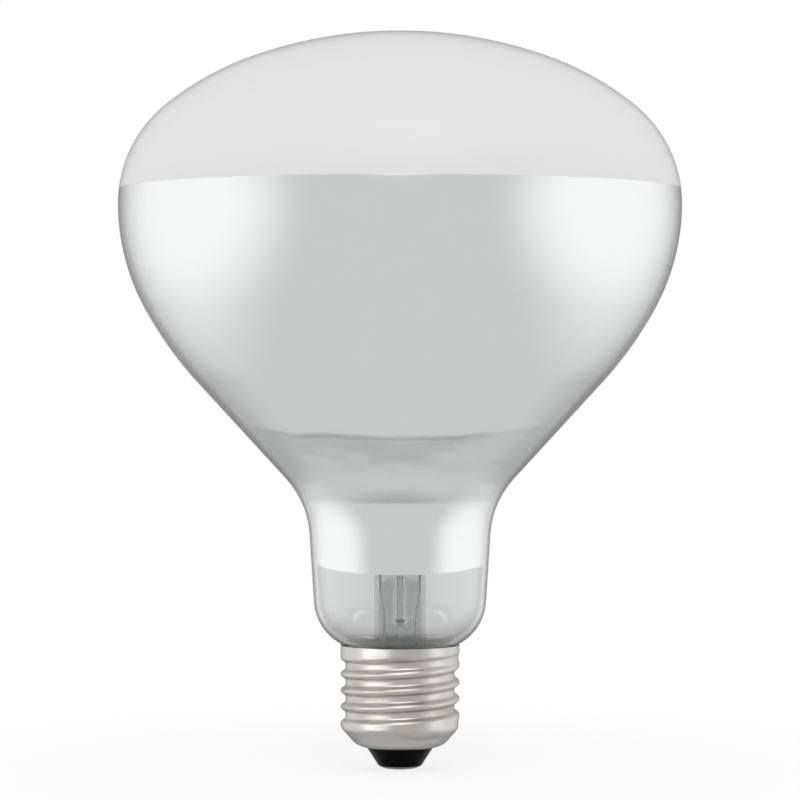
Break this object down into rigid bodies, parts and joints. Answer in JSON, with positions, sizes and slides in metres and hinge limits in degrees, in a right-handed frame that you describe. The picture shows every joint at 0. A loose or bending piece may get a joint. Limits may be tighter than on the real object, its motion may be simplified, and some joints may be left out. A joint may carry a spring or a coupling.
{
  "type": "infrared heat lamp bulb",
  "caption": "Infrared heat lamp: blown reflector bulb with satin face, silvered bowl and clear neck on a screw cap, with stem, leads and ring filament inside.",
  "frame": {"origin": "centre of the flat face of the centre contact, at the bottom of the screw cap", "axes": "+Z is the lamp's axis, from the centre contact to the dome; -Y is the side that the picture shows; the ends of the filament ring and the seal wires lie left and right of it along X"},
  "size_m": [0.1244, 0.1244, 0.163],
  "materials": {
    "bulb_glass": "clear neck, silvered bowl, satin frosted face",
    "mirror_film": "vacuum-deposited aluminium film",
    "nickel_cap": "satin nickel-plated sheet",
    "black_glass": "opaque glossy black glass",
    "contact_metal": "dull tinned plate",
    "solder": "dull grey solder",
    "cement": "baked basing cement",
    "stem_glass": "clear lead-free stem glass",
    "seal_wire": "copper-clad seal wire",
    "lead_wire": "tinned copper wire",
    "nickel_wire": "drawn nickel wire",
    "filament": "grey tungsten coil",
    "support_wire": "molybdenum wire"
  },
  "bodies": {
    "root": {"glass_envelope": "bulb_glass", "mirror_coating": "mirror_film", "cap_shell": "nickel_cap", "cap_insulator": "black_glass", "centre_contact": "contact_metal", "centre_solder": "solder", "side_solder": "solder", "basing_cement": "cement", "stem_flare": "stem_glass", "exhaust_tube": "stem_glass", "glass_arbor": "stem_glass", "seal_wire_left": "seal_wire", "seal_wire_right": "seal_wire", "outer_lead_centre": "lead_wire", "outer_lead_side": "lead_wire", "inner_lead_left": "nickel_wire", "inner_lead_right": "nickel_wire", "filament_coil": "filament", "support_wire_1": "support_wire", "support_wire_2": "support_wire", "support_wire_3": "support_wire", "support_wire_4": "support_wire", "support_wire_5": "support_wire"}
  },
  "joints": []
}
